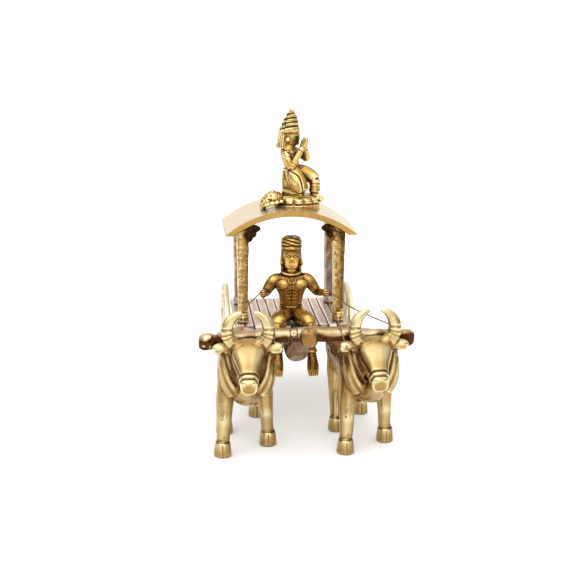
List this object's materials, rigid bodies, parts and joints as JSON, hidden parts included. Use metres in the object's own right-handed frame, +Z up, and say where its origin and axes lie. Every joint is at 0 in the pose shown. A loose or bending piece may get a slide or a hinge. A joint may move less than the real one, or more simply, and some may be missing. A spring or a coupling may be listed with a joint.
{
  "type": "brass bullock cart statue",
  "caption": "Cast brass statue of a yoked pair of humped bulls drawing a wheeled cart with a curved roof, a driver with wire reins and a kneeling figure on top.",
  "frame": {"origin": "on the ground under the middle of the statue's bounding box", "axes": "+Z up, the bulls face -Y, +X towards the right of the picture"},
  "size_m": [0.132, 0.1972, 0.2],
  "materials": {
    "antique_brass": "polished gold with dark patina in the recesses",
    "unpolished_brass": "dull grey-brown, unpolished"
  },
  "bodies": {
    "cart": {"bull_left": "antique_brass", "bull_right": "antique_brass", "yoke": "antique_brass", "post_front_left": "antique_brass", "post_front_right": "antique_brass", "roof": "antique_brass", "driver": "antique_brass", "roof_figure": "antique_brass", "rein_left_outer": "antique_brass", "rein_left_inner": "antique_brass", "rein_right_inner": "antique_brass", "rein_right_outer": "antique_brass", "draught_pole": "unpolished_brass", "cart_bed": "unpolished_brass", "axle": "unpolished_brass", "post_rear_left": "unpolished_brass", "post_rear_right": "unpolished_brass"},
    "wheel_left": {"wheel_left": "unpolished_brass"},
    "wheel_right": {"wheel_right": "unpolished_brass"}
  },
  "joints": [
    {"name": "wheel_left_turn", "type": "hinge", "parent": "cart", "child": "wheel_left", "pos_m": [-0.0438, 0.0602, 0.0382], "axis": [1, 0, 0], "continuous": true},
    {"name": "wheel_right_turn", "type": "hinge", "parent": "cart", "child": "wheel_right", "pos_m": [0.0412, 0.0602, 0.0382], "axis": [1, 0, 0], "continuous": true}
  ]
}
